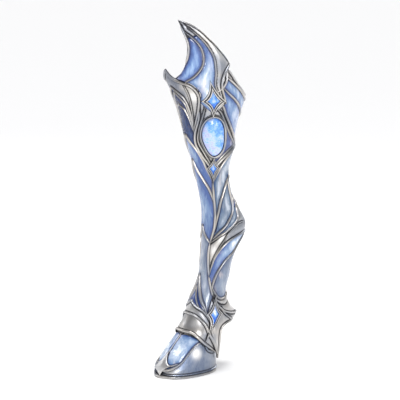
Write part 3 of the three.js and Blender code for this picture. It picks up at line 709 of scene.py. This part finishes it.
def makePlate(name, wrap, outline, inside=(), edges=(), walls=(), inlays=(), extras=(), lightAndShadeSpots=(),
              shadeLines=(), material=steel, base=(-sheetThickness, 0.0), fold=foldShape):
    # A plate is a skin with its ribs. Its inlays are pieces of their own in some of its cells, and
    # a wall parts two cells where no rib does. Some lines only lay painted shade beside them, round a
    # set stone or under an overlapping edge. An inlay has a name, a place in its cell, a kind, and two
    # tones with the heights that they belong to. Some spots paint a highlight or a shade on the steel.
    lines = [*[extended(line) for line, _ in inside], *[flowing(line) for line in walls]]
    kept = [(clipped(line, outline), look) for line, look in inside]
    ribs = [*[(line, look) for line, look in kept if len(line) > shortest], *edges, *extras]
    # lines that only lay painted shade beside them count here as thin bars
    bars = [*[(line, look["width"]) for line, look in ribs], *[(line, shadeLineWidth) for line in shadeLines]]
    patch = Patch(wrap, outline, lines, bars)
    bottom, floor = base
    lift = floor + fold["rise"] * np.clip(patch.depth / fold["reach"], 0, 1)
    dome = inlayShape["floor"] + roll(patch.depth, inlayShape["rise"], inlayShape["reach"])
    shade = np.exp(-np.maximum(patch.depth - inlayShape["rim"], 0) / inlayShape["rimReach"])
    for label, seed, kind, tones in inlays:
        faces = patch.facesAt(seed)
        lift[np.unique(faces)] = floor
        tone = gradient(patch, *tones) - inlayShape["rimShade"] * shade
        body = Shape()
        patch.sheet(body, faces, floor + dome, floor + inlayShape["bed"], tone)
        body.piece(label, enamel[kind], kind + "_enamel", inlayShape["sharp"])
    paintedLightTone = np.full(len(patch.points), plainTone)
    for u, v, size, amount in lightAndShadeSpots:  # a painted highlight, or painted shade where the amount is negative
        spot = wrap.frameAt([(u, v)])[0]
        paintedLightTone += amount * np.exp(-(np.linalg.norm(patch.base - spot, axis=1) / size) ** 2)
    shape = Shape()
    patch.sheet(shape, patch.faces, lift, bottom, paintedLightTone)
    for line, look in ribs:
        ribBody(shape, wrap, line, look["width"], look["crest"] + floor, floor - ribRoot)
    shape.piece(name, material, "steel")
    print(name, "is made with", len(inlays), "inlays")


# Outlines of the set stones

starSide = {"steps": 9, "pull": 0.62, "lean": 2}


def hollowStar(centre, tips, waist, share=1.0):
    # tips about a centre, with hollow sides between them
    tips = np.array(tips, float)
    out = []
    for tip, onward in zip(tips, np.roll(tips, -1, axis=0)):
        pull = (tip + onward) * waist * starSide["pull"]
        for t in np.linspace(0, 1, starSide["steps"], endpoint=False):
            out.append((1 - t) ** 2 * tip + 2 * t * (1 - t) * pull + t**2 * onward)
    return np.array(centre) + np.array(out) * share


starSizes = {
    "upper": {"centre": (15, 583), "up": 42, "down": 34, "side": 20, "waist": 0.42, "floor": 3.6},
    "middle": {"centre": (18, 440), "up": 24, "down": 30, "side": 20, "waist": 0.42, "floor": 3.6},
    "lower": {"centre": (9, 126), "up": 40, "down": 50, "side": 21, "waist": 0.38, "floor": 3.8},
}
gemSize = {"centre": (15, 507), "half": (25, 41), "bezel": (31.5, 47.5), "rise": 12, "foot": 1.2,
           "sides": 72, "rings": 18, "tone": (0.40, 0.20, -0.14), "dark": 0.05}
shadeLineShare = 1.05  # how far out from an ornament its painted shade lies


def starOutline(size, share):
    lean = starSide["lean"]
    tips = [[-lean, size["up"]], [size["side"], 0], [lean, -size["down"]], [-size["side"], 0]]
    return hollowStar(size["centre"], tips, size["waist"], share)


def starEdge(name):
    edge = starOutline(starSizes[name], shadeLineShare)
    return np.vstack([edge, edge[:1]])


def ellipse(half):
    angle = np.linspace(0, 2 * math.pi, gemSize["sides"], endpoint=False)
    spread = np.stack([half[0] * np.cos(angle), half[1] * np.sin(angle)], axis=1)
    return np.array(gemSize["centre"]) + spread


def gemRing(share):
    return ellipse([half * share for half in gemSize["half"]])


def bezelRing(share):
    inner, outer = gemSize["half"], gemSize["bezel"]
    return ellipse([a + (b - a) * share for a, b in zip(inner, outer)])


# The plates round the leg

upperFront = {
    "inside": [(overFront(strands["archHigh"]), thinRib), (overFront(strands["archLow"]), thinRib),
               (flowing(strands["gemFront"]), mainRib), (flowing(frontRimInside), mainRib),
               (flowing(strands["gemFrontInner"]), thinRib)],
    "walls": [[[42, 572], [42, 612]], [[20, 432], [21, 404]], [[57, 518], [50, 540]]],
    # painted shade round the upper and middle stars and along the prow's lines
    "shadeLines": [starEdge("upper"), starEdge("middle"), flowing(prowLow), flowing(prowRidge)],
    "edges": [(overFront(lineA), mainRib), (flowing(mirror(seamHigh)), mainRib)],
    "inlays": [
        ("prow_inlay", (90, 606), "pale", (0.2, 0.3, 560, 620)),
        ("knee_inlay", (90, 540), "deep", (0.7, 0.1, 470, 560)),
    ],
}
outline = closed(flowing(lineA)[::-1], flowing(mirror(lineA)), flowing(mirror(seamHigh)),
                 flowing(frontRimInside)[::-1], flowing(frontRim)[::-1], flowing(seamHigh)[::-1])
makePlate("upper_front_plate", leg, outline, **upperFront)

shinFront = {
    "inside": [(overFront(strands["shinB"]), mainRib)],
    # painted shade round the middle star
    "shadeLines": [starEdge("middle")],
    "edges": [*[(line, mainRib) for line in bothSides(strandShin)], (overFront(lineY), mainRib)],
    "inlays": [
        ("shin_chevron_inlay", (90, 480), "blue", (0.3, 0.6, 400, 500)),
        ("shin_front_inlay", (90, 360), "blue", (0.5, 0.2, 300, 430)),
    ],
}
outline = around(mirror, lineA, strandShin, lineY)
makePlate("shin_front_plate", leg, outline, **shinFront)

collar = {
    "edges": [(overFront(collarHigh), mainRib), (overFront(collarLow), mainRib)],
    # painted highlights and a painted shade on the collar
    "lightAndShadeSpots": [(70, 136, 12, 0.3), (20, 104, 16, -0.2), (110, 136, 12, 0.3)],
    "fold": {"rise": 1.6, "reach": 9.0},
}
outline = closed(overFront(collarHigh), overFront(collarLow)[::-1])
makePlate("fetlock_collar", leg, outline, **collar)

cannonFront = {
    "inside": [(overFront(strands["cannonLow"]), {"width": 9.0, "crest": 5.0})],
    # painted shade round the lower star
    "shadeLines": [starEdge("lower")],
    "extras": [(overFront([[90, 182], [78, 164], [60, 146], [46, 134]]), thinRib)],
    "edges": [(line, mainRib) for line in [*bothSides(strandHock), *bothSides(strandLow)]],
    "inlays": [
        ("cannon_front_inlay", (90, 240), "pale", (0.85, 0.5, 180, 300)),
        ("pastern_sliver_inlay", (90, 175), "deep", (0.5, 0.2, 130, 190)),
    ],
}
outline = closed(overFront(lineY), flowing(strandHock), flowing(strandLow),
                 flowing([strandLow[-1], cuffSide, collarHigh[3]]), flowing(collarHigh[:4])[::-1],
                 flowing(mirror(collarHigh[:4])),
                 flowing(mirror([collarHigh[3], cuffSide, strandLow[-1]])),
                 flowing(mirror(strandLow))[::-1], flowing(mirror(strandHock))[::-1])
makePlate("cannon_front_plate", leg, outline, **cannonFront)

upperBack = {
    "inside": [(flowing(strands["gemBack"]), mainRib), (flowing(strands["gemUnder"]), mainRib),
               (flowing(strands["gemBackInner"]), thinRib), (flowing(strands["gemUnderInner"]), thinRib),
               (overBack(strands["wingLow"]), mainRib), (overBack(strands["wingHigh"]), mainRib),
               (flowing(backRimInside), mainRib)],
    "edges": [(overBack(lineS), mainRib), (flowing(backRim), mainRib)],
    "walls": [[[22, 538], [4, 536], [-16, 530]]],
    # painted shade round the upper and middle stars and under the fin's blade edge
    "shadeLines": [starEdge("upper"), starEdge("middle"), flowing(bladeEdge)],
    "inlays": [
        ("wing_inlay_high", (-90, 555), "blue", (0.5, 0.7, 520, 620)),
        ("wing_inlay_low", (-90, 510), "blue", (0.75, 0.35, 480, 600)),
        ("gem_side_inlay", (-25, 505), "deep", (0.5, 0.2, 460, 540)),
    ],
}
outline = closed(flowing(seamHigh)[::-1], flowing(lineS)[::-1], flowing(backMirror(lineS)),
                 flowing(backMirror(seamHigh)), flowing(backRimInside)[::-1], flowing(backRim)[::-1])
makePlate("upper_back_plate", leg, outline, **upperBack)

hockFold = [[-56, 318], [-38, 316], [-18, 305], [4, 284], [24, 262], [40, 235]]
hock = {
    "edges": [(overBack(lineF), mainRib), (overBack(hockLow), mainRib)],
    "inside": [(line, {"width": 3.4, "crest": 4.2}) for line in bothBacks(hockFold)],
    # a painted highlight band and painted shade on the hock plate
    "lightAndShadeSpots": [(14, 290, 13, 0.5), (40, 262, 13, 0.35), (-60, 335, 22, -0.25), (-20, 290, 14, -0.2)],
    "fold": {"rise": 3.0, "reach": 10.0},
}
outline = around(backMirror, lineF, strandHock, hockLow)
makePlate("hock_plate", leg, outline, **hock)

shinBack = {
    "inside": [(overBack(strands["calfC"]), mainRib),
               *[(line, mainRib) for line in bothBacks(strands["leafD"])],
               (overBack(strands["crescentTop"]), thinRib)],
    "inlays": [
        ("calf_inlay", (-90, 450), "blue", (0.75, 0.95, 380, 480)),
        ("leaf_inlay_outer", (0, 350), "blue", (1.15, 1.05, 300, 400)),
        ("leaf_inlay_inner", (-180, 350), "blue", (1.15, 1.05, 300, 400)),
        ("hock_crescent_inlay", (-90, 372), "deep", (0.3, 0.3, 300, 400)),
    ],
}
outline = around(backMirror, lineS, strandShin, lineF)
makePlate("shin_back_plate", leg, outline, **shinBack)

cannonBack = {
    "inside": [*[(line, mainRib) for line in bothBacks(strands["cannonH"])],
               (overBack(strands["cannonHem"]), mainRib)],
    "inlays": [
        ("cannon_leaf_inlay_outer", (-10, 255), "blue", (0.4, 1.05, 200, 280)),
        ("cannon_leaf_inlay_inner", (-170, 255), "blue", (0.4, 1.05, 200, 280)),
        ("cannon_back_inlay", (-90, 220), "pale", (0.5, 0.25, 170, 280)),
    ],
}
outline = around(backMirror, hockLow, strandLow, cuffTopLine)
makePlate("cannon_back_plate", leg, outline, **cannonBack)

cuffLeaf = [[-14, 138], [-26, 118], [-45, 106]]
cuff = {
    "inside": [(overBack(strands["cuffRib"]), mainRib)],
    "extras": [(line, thinRib) for line in bothBacks(cuffLeaf)],
    # painted highlights and shade on the cuff, and painted shade round the lower star
    "lightAndShadeSpots": [(8, 126, 30, -0.4), (-70, 130, 18, 0.4), (-34, 60, 18, 0.3)],
    "shadeLines": [starEdge("lower")],
    "edges": [(overBack(cuffLow), mainRib)],
    "fold": {"rise": 2.2, "reach": 9.0},
}
outline = closed(overBack(cuffTopLine), flowing([cuffTopLine[-1], cuffSide, collarHigh[3]]),
                 flowing(collarHigh[3:]), flowing(cuffLow)[::-1], flowing(backMirror(cuffLow)),
                 flowing(backMirror(collarHigh[3:]))[::-1],
                 flowing(backMirror([collarHigh[3], cuffSide, cuffTopLine[-1]])))
makePlate("fetlock_cuff", leg, outline, **cuff)

lame = {
    "edges": [(overFront(lameLow), {"width": 6.0, "crest": 3.0})],
    # painted highlight and shade on the lame, and a painted shadow under the collar's lower edge
    "lightAndShadeSpots": [(58, 112, 15, 0.4), (20, 88, 18, -0.25), (85, 120, 14, -0.2)],
    "shadeLines": [overFront(collarLow)],
    "base": (-4.0, -2.2),
    "fold": {"rise": 1.4, "reach": 12.0},
}
outline = closed(overFront(lameHigh), overFront(lameLow)[::-1])
makePlate("pastern_lame", leg, outline, **lame)


# The fin and the prow, which stand outside the upper plates

fin = {
    "inside": [(flowing(bladeInner), thinRib),
               (flowing(strands["notchRim"]), {"width": 6.0, "crest": 3.4}),
               (flowing(strands["finCrescent"]), thinRib)],
    "edges": [(flowing(finTop), {"width": 3.0, "crest": 2.4}), (flowing(bladeEdge), mainRib)],
    "walls": [[[9, 577], [11, 552]], [[34, 732], [44, 750]], [[22, 717], [42, 710]]],
    "inlays": [
        ("fin_inlay_front", (30, 670), "deep", (0.95, 0.35, 630, 720)),
        ("fin_inlay_back", (8, 650), "blue", (0.95, 0.65, 580, 720)),
    ],
    # painted highlights along the blade and a painted shade
    "lightAndShadeSpots": [(-6, 696, 16, 0.45), (-22, 676, 18, 0.4), (16, 721, 14, 0.4), (-6, 650, 20, -0.2),
               (2, 600, 20, 0.35)],
    "base": (0.3, 2.1),
    "fold": {"rise": 3.0, "reach": 10.0},
}
outline = closed(flowing(notch), flowing(finTop), flowing(bladeEdge),
                 flowing([[-6, 577], [5, 564], [15, 556]]),
                 flowing([[15, 556], [27, 566], [37, 580], [34, 598], [42, 617], [57, 625]]),
                 flowing([[57, 625], [70, 629]]))
makePlate("fin_plate", leg, outline, **fin)

prowFold = [[57, 616], [55, 595], [56, 563], [57, 532]]
fineRib = {"width": 3.2, "crest": 2.8}
prow = {
    "edges": [(overFront(prowRidge), mainRib), (overFront(prowLow), thinRib)],
    "inside": [(line, fineRib) for line in bothSides(prowFold)],
    # painted highlights and painted shade on the prow
    "lightAndShadeSpots": [(50, 592, 12, 0.55), (80, 622, 22, -0.8), (68, 592, 13, -0.6), (56, 545, 14, -0.3),
               (130, 592, 12, 0.55), (104, 618, 18, -0.5)],
    "base": (0.3, 2.1),
    "fold": {"rise": 1.6, "reach": 8.0},
}
outline = closed(overFront(prowRidge), overFront(prowLow)[::-1])
makePlate("prow_plate", leg, outline, **prow)


# Set stones

def bandsOf(count, loops):
    # the faces between loops of equal counts
    faces = []
    for r in range(loops - 1):
        a, b = r * count, (r + 1) * count
        faces += [(a + i, a + (i + 1) % count, b + (i + 1) % count, b + i) for i in range(count)]
    return faces


def ringBody(shape, wrap, rings, cap=None):
    # Rings are chart loops of equal counts with a height and an amount of painted shade each, from
    # outside in.
    count = len(rings[0][0])
    points = np.vstack([loop for loop, _, _ in rings])
    heights = np.concatenate([np.broadcast_to(height, count) for _, height, _ in rings])
    groove = np.repeat([dark for _, _, dark in rings], count)
    faces = bandsOf(count, len(rings))
    last = (len(rings) - 1) * count
    places = wrap.place(points, heights)
    if cap is not None:
        middle, height, dark = cap
        places = np.vstack([places, wrap.place([middle], [height])])
        groove = np.append(groove, dark)
        faces += [(last + i, last + (i + 1) % count, len(places) - 1) for i in range(count)]
        faces.append(tuple(range(count))[::-1])
    else:
        faces += [(last + i, last + (i + 1) % count, (i + 1) % count, i) for i in range(count)]
    shape.add(places, faces, groove)
    return points


# share of the outline, height, painted shade in its grooves
starRings = [
    (1.08, -3.0, 1.0), (1.05, 1.2, 0.6), (0.97, 2.9, 0.0), (0.88, 2.9, 0.0), (0.82, 1.0, 0.9),
    (0.74, 1.0, 0.9), (0.69, 3.3, 0.0), (0.60, 3.4, 0.0), (0.52, 1.4, 0.6), (0.49, -3.0, 1.0),
]
starStone = {"rim": 0.51, "table": 0.3, "root": -0.6, "side": 1.2, "edge": 2.3, "ridge": 0.9, "peak": 4.0,
             "settingTone": 0.72, "tone": 0.12, "climbAndGlint": 0.62, "lowest": -0.3}

for name, size in starSizes.items():
    floor = size["floor"]
    setting = Shape()
    ringBody(setting, leg, [(starOutline(size, share), floor + rise, dark)
                            for share, rise, dark in starRings])
    setting.tone = [np.full(setting.count, starStone["settingTone"])]
    setting.piece("star_setting_" + name, steel, "steel", 25)
    stone = Shape()
    rim = starOutline(size, starStone["rim"])
    ridge = np.array([1.0 if i % starSide["steps"] == 0 else 0.0 for i in range(len(rim))])
    table = starOutline(size, starStone["table"])
    # the stone's rim and sides carry painted shade
    chart = ringBody(stone, leg, [
        (rim, floor + starStone["root"], 0.5),
        (rim, floor + starStone["side"], 0.35),
        (table, floor + starStone["edge"] + starStone["ridge"] * ridge, 0.0),
    ], (size["centre"], floor + starStone["peak"], 0.0))
    # the stone is paler towards the top, and its centre point is given a pale tone as a painted glint
    rise = np.clip((chart[:, 1] - size["centre"][1]) / size["up"], starStone["lowest"], 1)
    stone.tone = [np.append(starStone["tone"] + starStone["climbAndGlint"] * rise, starStone["climbAndGlint"])]
    stone.piece("star_stone_" + name, moonstone, "gem", 12)
    print("star", name, "is set")


# share of the bezel's width, height, painted shade in its grooves
bezelRings = [
    (1.1, -0.4, 1.0), (1.06, 2.6, 0.4), (0.88, 4.4, 0.0), (0.76, 3.2, 0.3), (0.66, 3.0, 0.9),
    (0.54, 4.6, 0.2), (0.38, 5.8, 0.0), (0.16, 5.6, 0.0), (0.0, 4.0, 0.6), (0.0, -0.4, 1.0),
]
bezel = Shape()
ringBody(bezel, leg, [(bezelRing(share), rise, dark) for share, rise, dark in bezelRings])
bezel.piece("gem_bezel", steel, "steel", 50)

stone = Shape()
foot, height = gemSize["foot"], gemSize["rise"]
# the outermost rings carry painted shade, fading quickly towards the middle
rings = [(gemRing(1.01), 0.3, 1.0)]
for share in np.linspace(1, 0.06, gemSize["rings"]):
    domed = foot + height * (1 - share**2.4) ** 0.6
    rings.append((gemRing(share), domed, math.exp(-(1 - share) / gemSize["dark"])))
chart = ringBody(stone, leg, rings, (gemSize["centre"], foot + height, 0.0))
u, v = ((chart - gemSize["centre"]) / gemSize["half"]).T
middle, across, upward = gemSize["tone"]
stone.tone = [np.append(middle + across * u + upward * v, middle)]
stone.piece("gem", moonstone, "gem", 60)
print("the gem is set")


# The hoof

band = [[2, 71], [18, 69], [28, 60], [35, 46], [44, 30], [60, 20], [90, 13]]
hoofRim = [[2, 71], [30, 78], [60, 84], [90, 84]]
quarterRim = [[-90, 42], [-50, 42], [-26, 45], [-10, 51], [0, 62], [2, 71]]
quarterLow = 5.2

ornamentShape = {"centre": (88, 22), "tips": [[2, 30], [-24, 2], [-1, -21], [30, -10]], "waist": 0.3}
petalFoot = [[90, 48], [86, 34], [78, 27], [68, 25], [58, 27], [50, 30]]
toeShell = {
    "inside": [(flowing([[90, 86], [90, 50], [90, 16]]), {"width": 4.4, "crest": 3.6}),
               *[(line, thinRib) for line in bothSides(petalFoot)]],
    "edges": [(chained(flowing(band), flowing(mirror(band))[::-1]), {"width": 7.0, "crest": 4.4})],
    # painted shade round the toe ornament
    "shadeLines": [hollowStar(**ornamentShape, share=shadeLineShare)],
    "inlays": [
        ("hoof_petal_outer", (60, 50), "blue", (1.0, 0.75, 20, 85)),
        ("hoof_petal_inner", (120, 50), "blue", (1.0, 0.75, 20, 85)),
    ],
}
outline = closed(flowing(band), flowing(mirror(band))[::-1], flowing(mirror(hoofRim)),
                 flowing(hoofRim)[::-1])
makePlate("hoof_toe_shell", hoof, outline, **toeShell)

quarter = {
    "edges": [(overBack(quarterRim), {"width": 5.0, "crest": 3.4}),
              (flowing([[84, 8], [0, 8], [-90, 8], [-180, 8], [-264, 8]]), {"width": 4.4, "crest": 2.6})],
    # painted highlights and a painted shade on the quarter
    "lightAndShadeSpots": [(14, 48, 14, 0.5), (-40, 20, 26, -0.3), (60, 10, 20, 0.35)],
    "material": quarterSteel,
    "fold": {"rise": 1.4, "reach": 14.0},
}
lowEdge = flowing([[88, quarterLow], [-90, quarterLow], [-268, quarterLow]])
outline = closed(overBack(quarterRim), flowing(band), lowEdge, flowing(backMirror(band))[::-1])
makePlate("hoof_quarter_shell", hoof, outline, **quarter)

ornament = Shape()
# the ornament's foot rings carry painted shade
ringBody(ornament, hoof, [
    (hollowStar(**ornamentShape, share=1.03), 0.5, 1.0),
    (hollowStar(**ornamentShape), 3.4, 0.7),
    (hollowStar(**ornamentShape, share=0.86), 4.6, 0.0),
], (ornamentShape["centre"], 7.4, 0.0))
ornament.tone = [np.full(ornament.count, 0.8)]
ornament.piece("toe_ornament", steel, "steel", 14)

sole = {"thickness": 5.0, "lip": 1.2, "point": 7.0, "bevel": 0.9, "sides": 144, "pointWidth": 12}
turn = np.linspace(-180, 180, sole["sides"], endpoint=False)
toe = np.exp(-((turn - 90) / sole["pointWidth"]) ** 2)
reach = sole["lip"] + (sole["point"] - sole["lip"]) * toe
rim, outward, _ = hoof.frameAt(np.stack([turn, np.zeros_like(turn)], axis=1))
outward[:, 2] = 0
outward /= np.linalg.norm(outward, axis=1)[:, None]
bevel, thickness = sole["bevel"], sole["thickness"]
# inset, height and painted shade of each row; the sole's foot is shaded most
rows = [(-bevel, 0.0, 0.5), (0.0, bevel, 0.1), (0.0, thickness - bevel, 0.0), (-bevel, thickness, 0.2)]
points = []
for inset, height, _ in rows:
    ring = rim + outward * (reach + inset)[:, None]
    ring[:, 2] = height
    points.append(ring * mm)
count = len(turn)
faces = bandsOf(count, len(rows))
faces.append(tuple(range(count))[::-1])
faces.append(tuple(range((len(rows) - 1) * count, len(rows) * count)))
shape = Shape()
shape.add(np.vstack(points), faces, np.repeat([dark for _, _, dark in rows], count))
shape.piece("sole_plate", soleSteel, "dark_steel", 30)
print("the hoof is made")


# Floor, light and camera

studio = {
    "floor": (0.86, 0.86, 0.86),
    "horizon": (0.93, 0.93, 0.935),
    "zenith": (0.12, 0.12, 0.13),
    "overhead": 3.0,
    "overheadSpread": 30,
    "aim": (0, 0, 0.37),
    "lights": [  # place, size, power
        ((2.8, -1.1, 1.6), (0.9, 1.2), 52),
        ((2.7, 1.0, 1.2), (0.4, 1.4), 12),
        ((-2.2, -1.4, 1.8), (1.0, 1.6), 18),
        ((-1.4, 2.2, 1.8), (1.0, 1.4), 26),
    ],
}
floorMesh = bpy.data.meshes.new("floor")
wide = 900
corners = [(-wide, -wide, 0), (wide, -wide, 0), (wide, wide, 0), (-wide, wide, 0)]
floorMesh.from_pydata(corners, [], [(0, 1, 2, 3)])
floor = bpy.data.objects.new("floor", floorMesh)
bpy.context.scene.collection.objects.link(floor)
floorFinish = Finish("floorPaint")
floorMesh.materials.append(floorFinish.surface({"Base Color": (*studio["floor"], 1), "Roughness": 0.9}))

world = bpy.data.worlds.new("studio")
world.use_nodes = True
sky = Nodes(world.node_tree)
direction = sky.node("TexCoord", output="Generated")
level = sky.node("SeparateXYZ", {}, {0: direction}, "Z")
color = sky.blend(sky.band(level, 0.1, 0.5), studio["horizon"], studio["zenith"])
glow = sky.node("Background", {}, {"Color": color, "Strength": 1.0})
world.node_tree.links.new(glow.socket, world.node_tree.nodes["World Output"].inputs["Surface"])
bpy.context.scene.world = world


def addLight(kind, place, energy):
    light = bpy.data.lights.new("studioLight", kind)
    light.energy = energy
    holder = bpy.data.objects.new("studioLight", light)
    holder.location = place
    holder.rotation_euler = (Vector(studio["aim"]) - Vector(place)).to_track_quat("-Z", "Y").to_euler()
    bpy.context.scene.collection.objects.link(holder)
    return light


overhead = addLight("SUN", (0, 0, 3), studio["overhead"])
overhead.angle = math.radians(studio["overheadSpread"])
for place, size, power in studio["lights"]:
    softbox = addLight("AREA", place, power)
    softbox.shape = "RECTANGLE"
    softbox.size, softbox.size_y = size

view = {"azimuth": 65.0, "elevation": 9.2, "distance": 2.66, "target": (0, 0, 0.368), "lens": 112.68,
        "sensor": 36}
azimuth, elevation = math.radians(view["azimuth"]), math.radians(view["elevation"])
back = Vector((math.sin(azimuth) * math.cos(elevation), -math.cos(azimuth) * math.cos(elevation),
               math.sin(elevation)))
camera = bpy.data.objects.new("camera", bpy.data.cameras.new("camera"))
camera.data.lens = view["lens"]
camera.data.sensor_width = view["sensor"]
camera.location = Vector(view["target"]) + back * view["distance"]
camera.rotation_euler = (-back).to_track_quat("-Z", "Y").to_euler()
bpy.context.scene.collection.objects.link(camera)
bpy.context.scene.camera = camera
bpy.context.scene.view_settings.view_transform = "Standard"
print("the studio is set")
